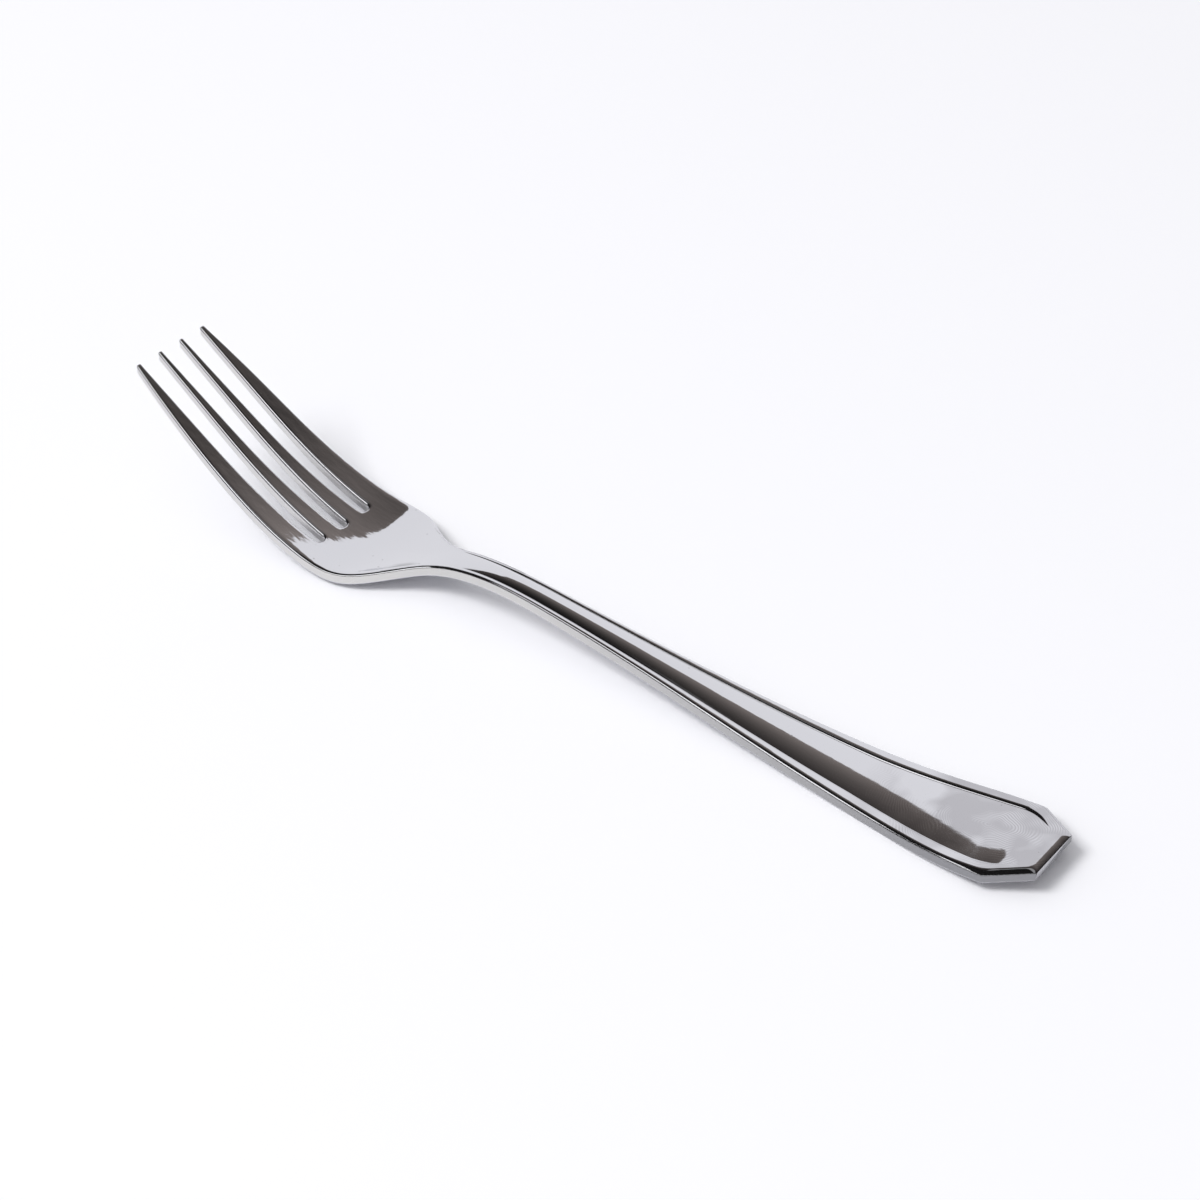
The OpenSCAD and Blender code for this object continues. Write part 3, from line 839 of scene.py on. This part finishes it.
def press_tree():
    """Geometry nodes that lay the blank along a side view and level what meets the table."""
    tree = bpy.data.node_groups.new("press", "GeometryNodeTree")
    tree.is_modifier = True
    for name, kind in (
        ("Blank", "NodeSocketGeometry"),
        ("Side View", "NodeSocketObject"),
        ("Table Height", "NodeSocketFloat"),
        ("Steel", "NodeSocketMaterial"),
    ):
        tree.interface.new_socket(name, in_out="INPUT", socket_type=kind)
    tree.interface.new_socket("Fork", in_out="OUTPUT", socket_type="NodeSocketGeometry")
    given = node(tree, "NodeGroupInput")
    view = node(tree, "GeometryNodeObjectInfo", None, {"Object": given["Side View"]})
    position = node(tree, "GeometryNodeInputPosition")["Position"]
    flat = node(tree, "ShaderNodeSeparateXYZ", None, [position])
    bend = node(
        tree,
        "GeometryNodeSampleCurve",
        {"mode": "LENGTH", "use_all_curves": True},
        {"Curves": view["Geometry"], "Length": flat["X"]},
    )
    bent = node(tree, "ShaderNodeSeparateXYZ", None, [bend["Position"]])
    raised = node(tree, "ShaderNodeMath", {"operation": "ADD"}, [bent["Z"], flat["Z"]])[0]
    level = node(tree, "ShaderNodeMath", LARGER, [raised, given["Table Height"]])[0]
    place = node(tree, "ShaderNodeCombineXYZ", None, [bent["X"], flat["Y"], level])["Vector"]
    fork = node(tree, "GeometryNodeSetPosition", None, {
        "Geometry": given["Blank"], "Position": place,
    })
    fork = node(tree, "GeometryNodeRealizeInstances", None, {"Geometry": fork["Geometry"]})
    fork = node(tree, "GeometryNodeSetMaterial", None, {
        "Geometry": fork["Geometry"], "Material": given["Steel"],
    })
    node(tree, "NodeGroupOutput", None, {"Fork": fork["Geometry"]})
    return tree


def pressed_fork(steel):
    """The finished fork: the blank bent by the press, as a plain mesh."""
    blank = bpy.data.objects.new("blank", blank_mesh())
    bpy.context.scene.collection.objects.link(blank)
    path = side_view_path()
    press = blank.modifiers.new("press", "NODES")
    press.node_group = press_tree()
    given = {"Side View": path, "Table Height": 0.0, "Steel": steel}
    for item in press.node_group.interface.items_tree:
        if item.in_out == "INPUT" and item.name in given:
            press[item.identifier] = given[item.name]
    bpy.context.view_layer.update()
    evaluated = blank.evaluated_get(bpy.context.evaluated_depsgraph_get())
    mesh = bpy.data.meshes.new_from_object(evaluated)
    blank.modifiers.remove(press)
    bpy.data.objects.remove(blank)
    bpy.data.objects.remove(path)
    mesh.name = "fork_body"
    fork = bpy.data.objects.new("fork_body", mesh)
    bpy.context.scene.collection.objects.link(fork)
    return fork


fork_body = pressed_fork(mirror_polished_stainless())
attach(fork_body, "root")
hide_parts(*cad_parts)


# Table, lights and camera


def photo_camera():
    """The photograph's camera."""
    data = bpy.data.cameras.new("photo_camera")
    data.sensor_width = SENSOR_WIDTH
    data.lens = SENSOR_WIDTH * FOCAL_WIDTHS
    data.clip_start, data.clip_end = CAMERA_REACH
    camera = bpy.data.objects.new("photo_camera", data)
    bpy.context.scene.collection.objects.link(camera)
    ahead = Vector((
        math.cos(CAMERA_DOWN) * math.cos(CAMERA_TURN),
        -math.cos(CAMERA_DOWN) * math.sin(CAMERA_TURN),
        -math.sin(CAMERA_DOWN),
    ))
    right = ahead.cross(Vector(UPWARD)).normalized()
    up = right.cross(ahead)
    turned = Matrix((right, up, -ahead)).transposed() @ Matrix.Rotation(CAMERA_ROLL, 3, "Z")
    camera.matrix_world = Matrix.Translation(CAMERA_PLACE) @ turned.to_4x4()
    bpy.context.scene.camera = camera


def table_top():
    """Plain table top, square to the camera's view."""
    mesh = bpy.data.meshes.new("table_top")
    ahead = Vector((math.cos(CAMERA_TURN), -math.sin(CAMERA_TURN), 0))
    aside = Vector((-ahead.y, ahead.x, 0))
    corners = [
        ahead * along + aside * across
        for along, across in (
            (-TABLE_FRONT, -TABLE_REACH),
            (TABLE_REACH, -TABLE_REACH),
            (TABLE_REACH, TABLE_REACH),
            (-TABLE_FRONT, TABLE_REACH),
        )
    ]
    mesh.from_pydata(corners, [], [(0, 1, 2, 3)])
    mesh.materials.append(matt_white_laminate())
    table = bpy.data.objects.new("table_top", mesh)
    bpy.context.scene.collection.objects.link(table)


def direction(azimuth, elevation):
    """Unit vector toward a place given in degrees of azimuth and elevation."""
    a, e = math.radians(azimuth), math.radians(elevation)
    return math.cos(e) * math.cos(a), math.cos(e) * math.sin(a), math.sin(e)


def area_light(name, place, distance, size, power):
    """Soft lamp in a direction from the fork, facing it; the lamp itself is returned."""
    data = bpy.data.lights.new(name, "AREA")
    data.shape = "RECTANGLE"
    data.size, data.size_y = size
    data.energy = power
    lamp = bpy.data.objects.new(name, data)
    bpy.context.scene.collection.objects.link(lamp)
    away = Vector(direction(*place)).normalized()
    lamp.location = away * distance
    lamp.rotation_mode = "QUATERNION"
    lamp.rotation_quaternion = away.to_track_quat("Z", "Y")
    return lamp


def seen_ahead(tree, toward, turn):
    """How far a direction leans up and aside, per step toward the azimuth that is given."""
    ahead, up, aside = [
        node(tree, "ShaderNodeVectorMath", DOT_PRODUCT, [toward, axis])["Value"]
        for axis in (
            (math.cos(turn), math.sin(turn), 0), UPWARD, (-math.sin(turn), math.cos(turn), 0),
        )
    ]
    ahead = node(tree, "ShaderNodeMath", LARGER, [ahead, LEAST_AHEAD])[0]
    return [
        node(tree, "ShaderNodeMath", {"operation": "DIVIDE"}, [lean, ahead])[0]
        for lean in (up, aside)
    ]


def table_light(tree, toward):
    """Soft light that falls on the table, strongest from high up beside the fork."""
    strongest = direction(*TABLE_LIGHT_PLACE)
    lean = node(tree, "ShaderNodeVectorMath", DOT_PRODUCT, [toward, strongest])["Value"]
    strength = node(tree, "ShaderNodeMapRange", SMOOTH, [lean, *TABLE_LIGHT_FADE])["Result"]
    return node(tree, "ShaderNodeMix", TINTED, {
        "Factor": 1.0, "A": linear(TABLE_LIGHT_COLOUR), "B": strength,
    })["Result"]


def white_screen(tree, toward):
    """Share of the screen in each direction, and its colour, dimmer at the foot."""
    up, aside = seen_ahead(tree, toward, SCREEN_TURN)
    reach = node(tree, "ShaderNodeMath", {"operation": "ABSOLUTE"}, [aside])[0]
    drop = node(tree, "ShaderNodeMapRange", SMOOTH, [aside, *SCREEN_DROP])["Result"]
    below = node(tree, "ShaderNodeMath", {"operation": "SUBTRACT"}, [up, drop])[0]
    top = node(tree, "ShaderNodeMapRange", SMOOTH, [below, *SCREEN_TOP_FADE])["Result"]
    side = node(tree, "ShaderNodeMapRange", SMOOTH, [reach, *SCREEN_SIDE_FADE])["Result"]
    share = node(tree, "ShaderNodeMath", TIMES, [top, side])[0]
    foot = node(tree, "ShaderNodeMapRange", SMOOTH, [up, *SCREEN_FOOT])["Result"]
    return share, node(tree, "ShaderNodeMix", TINTED, {
        "Factor": 1.0, "A": linear(SCREEN_COLOUR), "B": foot,
    })["Result"]


def brown_ceiling(tree, toward):
    """Ceiling that darkens overhead and toward one side."""
    up, aside = seen_ahead(tree, toward, CEILING_TURN)
    above = node(tree, "ShaderNodeMath", LARGER, [up, CEILING_NEAR])[0]
    far = node(tree, "ShaderNodeMath", {"operation": "POWER"}, [above, CEILING_FALL])[0]
    lit_side = node(tree, "ShaderNodeMapRange", SMOOTH, [aside, *CEILING_FADE])["Result"]
    strength = node(tree, "ShaderNodeMath", TIMES, [far, lit_side])[0]
    return node(tree, "ShaderNodeMix", TINTED, {
        "Factor": 1.0, "A": linear(CEILING_COLOUR), "B": strength,
    })["Result"]


def overhead_patch(tree, toward):
    """Dim light patch straight above, on one side of a line that passes beside the zenith."""
    fades = []
    for axis, edges in (
        (UPWARD, OVERHEAD_FADE), (direction(OVERHEAD_TURN, 0), OVERHEAD_SIDE_FADE),
    ):
        lean = node(tree, "ShaderNodeVectorMath", DOT_PRODUCT, [toward, axis])["Value"]
        fades.append(node(tree, "ShaderNodeMapRange", SMOOTH, [lean, *edges])["Result"])
    return node(tree, "ShaderNodeMath", TIMES, fades)[0]


def studio_world():
    """What lights the table, what the steel mirrors, and the white that the camera sees."""
    world = bpy.data.worlds.new("studio")
    bpy.context.scene.world = world
    world.use_nodes = True
    tree = world.node_tree
    tree.nodes.clear()
    toward = node(tree, "ShaderNodeTexCoord")["Generated"]
    screen, white = white_screen(tree, toward)
    room = brown_ceiling(tree, toward)
    for light in (linear(ROOM_COLOUR), overhead_patch(tree, toward)):
        room = node(tree, "ShaderNodeMix", ADDED, {"Factor": 1.0, "A": room, "B": light})["Result"]
    rays = node(tree, "ShaderNodeLightPath")
    seen = table_light(tree, toward)
    mirrored = node(tree, "ShaderNodeMix", COLOURS, {"Factor": screen, "A": room, "B": white})
    for ray, sight in (
        ("Is Glossy Ray", mirrored["Result"]), ("Is Camera Ray", linear("#ffffff")),
    ):
        mixed = {"Factor": rays[ray], "A": seen, "B": sight}
        seen = node(tree, "ShaderNodeMix", COLOURS, mixed)["Result"]
    background = node(tree, "ShaderNodeBackground", None, {"Color": seen})
    node(tree, "ShaderNodeOutputWorld", None, {"Surface": background["Background"]})


photo_camera()
table_top()
studio_world()
key_softbox = area_light("key_softbox", **KEY_SOFTBOX)
key_softbox.visible_glossy = False
side_card = area_light("side_card", **SIDE_CARD)
side_card.visible_diffuse = False

bpy.context.scene.view_settings.view_transform = "Standard"
